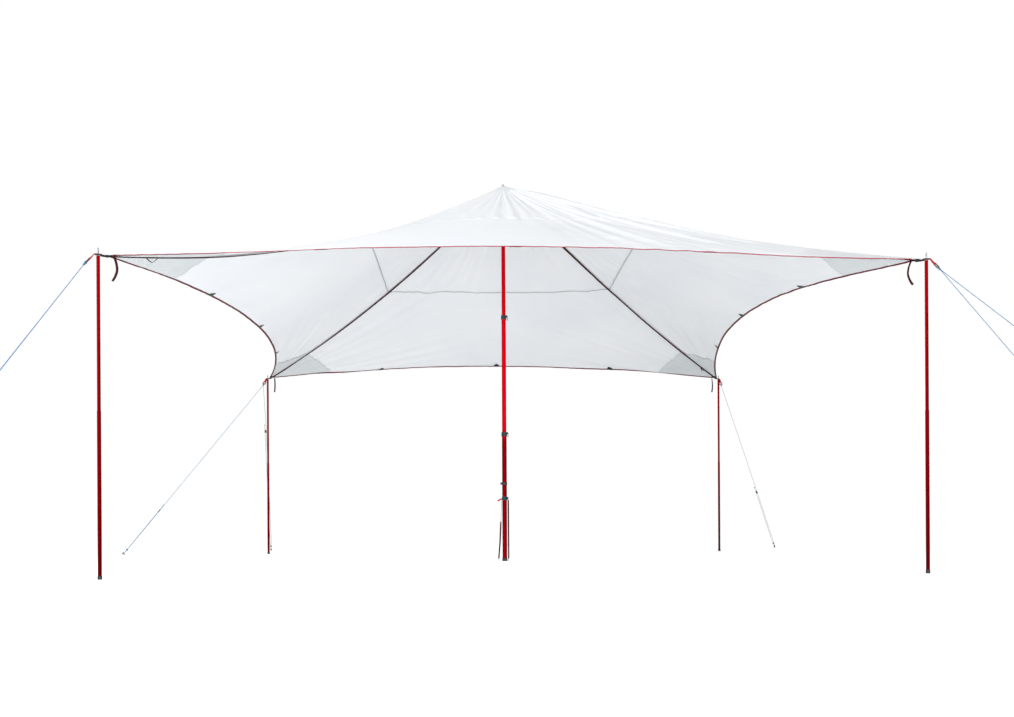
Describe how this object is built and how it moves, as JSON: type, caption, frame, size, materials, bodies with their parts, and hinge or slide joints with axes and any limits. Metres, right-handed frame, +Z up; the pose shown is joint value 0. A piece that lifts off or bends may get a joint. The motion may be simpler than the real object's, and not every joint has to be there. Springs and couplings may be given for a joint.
{
  "type": "tarp shelter",
  "caption": "Square tarp canopy with a raised peak and curved hems, held by a centre pole, corner poles and staked guylines.",
  "frame": {"origin": "centre of the centre pole foot, on the ground", "axes": "+Z up, +X to the right and +Y to the back as seen from the front, where the hem rises highest"},
  "size_m": [7.9841, 6.9457, 3.2395],
  "materials": {
    "cloth": "white woven polyester with a faint weave",
    "patch_cloth": "grey reinforced polyester",
    "tape_webbing": "dark maroon woven tape",
    "red_webbing": "red woven webbing",
    "tab_cloth": "dark olive coated cloth",
    "black_webbing": "black woven webbing",
    "steel": "plain zinc-plated steel",
    "black_plastic": "moulded",
    "cord": "blue braided cord",
    "red_tube": "red anodised and lacquered tube",
    "teal_plastic": "moulded dark teal",
    "teal_webbing": "dark teal woven webbing",
    "red_plastic": "dark red moulded grip",
    "black_steel": "black painted steel peg"
  },
  "bodies": {
    "canopy": {"lower_panel_front": "cloth", "lower_panel_right": "cloth", "lower_panel_back": "cloth", "lower_panel_left": "cloth", "cap_panels": "cloth", "corner_patches": "patch_cloth", "ridge_tapes": "tape_webbing", "hem_bindings": "red_webbing", "edge_tabs": "tab_cloth", "peak_patch": "cloth", "peak_grommet": "steel", "corner_tabs": "black_webbing", "corner_grommets": "steel", "corner_straps": "red_webbing", "ladder_locks": "black_plastic", "webbing_tails": "tape_webbing", "guylines": "cord", "centre_pole_upper": "red_tube", "centre_pole_tip": "steel"},
    "centre_middle": {"centre_pole_middle": "red_tube", "upper_lock_collar": "teal_plastic"},
    "centre_lower": {"centre_pole_lower": "red_tube", "lower_lock_collar": "teal_plastic", "centre_pole_foot": "black_plastic", "tether_band": "teal_webbing", "tether_buckles": "black_plastic", "tether_straps": "tape_webbing"},
    "upper_lever": {"upper_lock_lever": "teal_plastic"},
    "lower_lever": {"lower_lock_lever": "teal_plastic"},
    "foot_pegs": {"tether_pegs": "steel"},
    "pole_top_front_left": {"corner_pole_upper_front_left": "red_tube", "corner_pole_tip_front_left": "steel"},
    "pole_leg_front_left": {"corner_pole_lower_front_left": "red_tube", "corner_pole_foot_front_left": "black_plastic"},
    "pole_top_front_right": {"corner_pole_upper_front_right": "red_tube", "corner_pole_tip_front_right": "steel"},
    "pole_leg_front_right": {"corner_pole_lower_front_right": "red_tube", "corner_pole_foot_front_right": "black_plastic"},
    "pole_top_back_right": {"corner_pole_upper_back_right": "red_tube", "corner_pole_tip_back_right": "steel"},
    "pole_leg_back_right": {"corner_pole_lower_back_right": "red_tube", "corner_pole_foot_back_right": "black_plastic"},
    "pole_top_back_left": {"corner_pole_upper_back_left": "red_tube", "corner_pole_tip_back_left": "steel"},
    "pole_leg_back_left": {"corner_pole_lower_back_left": "red_tube", "corner_pole_foot_back_left": "black_plastic"},
    "tensioner_front_left_side": {"tensioner_front_left_side": "red_plastic"},
    "tensioner_front_left_front": {"tensioner_front_left_front": "red_plastic"},
    "tensioner_front_right_side": {"tensioner_front_right_side": "red_plastic"},
    "tensioner_front_right_front": {"tensioner_front_right_front": "red_plastic"},
    "tensioner_back_right": {"tensioner_back_right": "red_plastic"},
    "tensioner_back_left_side": {"tensioner_back_left_side": "red_plastic"},
    "tensioner_back_left_back": {"tensioner_back_left_back": "red_plastic"},
    "stake_front_left_side": {"stake_front_left_side": "black_steel"},
    "stake_front_left_front": {"stake_front_left_front": "black_steel"},
    "stake_front_right_side": {"stake_front_right_side": "black_steel"},
    "stake_front_right_front": {"stake_front_right_front": "black_steel"},
    "stake_back_right": {"stake_back_right": "black_steel"},
    "stake_back_left_side": {"stake_back_left_side": "black_steel"},
    "stake_back_left_back": {"stake_back_left_back": "black_steel"}
  },
  "joints": [
    {"name": "centre_middle_slide", "type": "slide", "parent": "canopy", "child": "centre_middle", "axis": [0, 0, 1], "range_m": [0, 0.8]},
    {"name": "centre_lower_slide", "type": "slide", "parent": "centre_middle", "child": "centre_lower", "axis": [0, 0, 1], "range_m": [0, 0.8]},
    {"name": "upper_lever_swing", "type": "hinge", "parent": "centre_middle", "child": "upper_lever", "pos_m": [0.0269, 0, 1.989], "axis": [0, -1, 0], "range_deg": [0, 110]},
    {"name": "lower_lever_swing", "type": "hinge", "parent": "centre_lower", "child": "lower_lever", "pos_m": [0.0285, 0, 1.039], "axis": [0, -1, 0], "range_deg": [0, 110]},
    {"name": "foot_pegs_pull", "type": "slide", "parent": "canopy", "child": "foot_pegs", "axis": [0, 0, 1], "range_m": [0, 0.15]},
    {"name": "pole_lean_front_left", "type": "hinge", "parent": "canopy", "child": "pole_top_front_left", "pos_m": [-2.375, -2.375, 1.829], "axis": [-0.7071, 0.7071, 0], "range_deg": [-5, 12]},
    {"name": "pole_slide_front_left", "type": "slide", "parent": "pole_top_front_left", "child": "pole_leg_front_left", "axis": [0, 0, 1], "range_m": [0, 0.75]},
    {"name": "pole_lean_front_right", "type": "hinge", "parent": "canopy", "child": "pole_top_front_right", "pos_m": [2.375, -2.375, 1.829], "axis": [-0.7071, -0.7071, 0], "range_deg": [-5, 12]},
    {"name": "pole_slide_front_right", "type": "slide", "parent": "pole_top_front_right", "child": "pole_leg_front_right", "axis": [0, 0, 1], "range_m": [0, 0.75]},
    {"name": "pole_lean_back_right", "type": "hinge", "parent": "canopy", "child": "pole_top_back_right", "pos_m": [2.375, 2.375, 1.829], "axis": [0.7071, -0.7071, 0], "range_deg": [-5, 12]},
    {"name": "pole_slide_back_right", "type": "slide", "parent": "pole_top_back_right", "child": "pole_leg_back_right", "axis": [0, 0, 1], "range_m": [0, 0.75]},
    {"name": "pole_lean_back_left", "type": "hinge", "parent": "canopy", "child": "pole_top_back_left", "pos_m": [-2.375, 2.375, 1.829], "axis": [0.7071, 0.7071, 0], "range_deg": [-5, 12]},
    {"name": "pole_slide_back_left", "type": "slide", "parent": "pole_top_back_left", "child": "pole_leg_back_left", "axis": [0, 0, 1], "range_m": [0, 0.75]},
    {"name": "tensioner_slide_front_left_side", "type": "slide", "parent": "canopy", "child": "tensioner_front_left_side", "axis": [-0.6209, 0.0104, -0.7838], "range_m": [-0.02, 0.25]},
    {"name": "tensioner_slide_front_left_front", "type": "slide", "parent": "canopy", "child": "tensioner_front_left_front", "axis": [-0.4169, -0.3876, -0.8222], "range_m": [-0.02, 0.25]},
    {"name": "tensioner_slide_front_right_side", "type": "slide", "parent": "canopy", "child": "tensioner_front_right_side", "axis": [0.659, 0.0059, -0.7521], "range_m": [-0.02, 0.25]},
    {"name": "tensioner_slide_front_right_front", "type": "slide", "parent": "canopy", "child": "tensioner_front_right_front", "axis": [0.6446, -0.3283, -0.6904], "range_m": [-0.02, 0.25]},
    {"name": "tensioner_slide_back_right", "type": "slide", "parent": "canopy", "child": "tensioner_back_right", "axis": [0.4064, 0.5306, -0.7439], "range_m": [-0.02, 0.25]},
    {"name": "tensioner_slide_back_left_side", "type": "slide", "parent": "canopy", "child": "tensioner_back_left_side", "axis": [-0.632, -0.0198, -0.7747], "range_m": [-0.02, 0.25]},
    {"name": "tensioner_slide_back_left_back", "type": "slide", "parent": "canopy", "child": "tensioner_back_left_back", "axis": [-0.0709, 0.5332, -0.843], "range_m": [-0.02, 0.25]},
    {"name": "stake_pull_front_left_side", "type": "slide", "parent": "canopy", "child": "stake_front_left_side", "axis": [-0.5, 0, 0.866], "range_m": [0, 0.2]},
    {"name": "stake_pull_front_left_front", "type": "slide", "parent": "canopy", "child": "stake_front_left_front", "axis": [-0.3726, -0.3334, 0.866], "range_m": [0, 0.2]},
    {"name": "stake_pull_front_right_side", "type": "slide", "parent": "canopy", "child": "stake_front_right_side", "axis": [0.5, 0, 0.866], "range_m": [0, 0.2]},
    {"name": "stake_pull_front_right_front", "type": "slide", "parent": "canopy", "child": "stake_front_right_front", "axis": [0.4472, -0.2236, 0.866], "range_m": [0, 0.2]},
    {"name": "stake_pull_back_right", "type": "slide", "parent": "canopy", "child": "stake_back_right", "axis": [0.3049, 0.3963, 0.866], "range_m": [0, 0.2]},
    {"name": "stake_pull_back_left_side", "type": "slide", "parent": "canopy", "child": "stake_back_left_side", "axis": [-0.5, 0, 0.866], "range_m": [0, 0.2]},
    {"name": "stake_pull_back_left_back", "type": "slide", "parent": "canopy", "child": "stake_back_left_back", "axis": [-0.0857, 0.4926, 0.866], "range_m": [0, 0.2]}
  ]
}
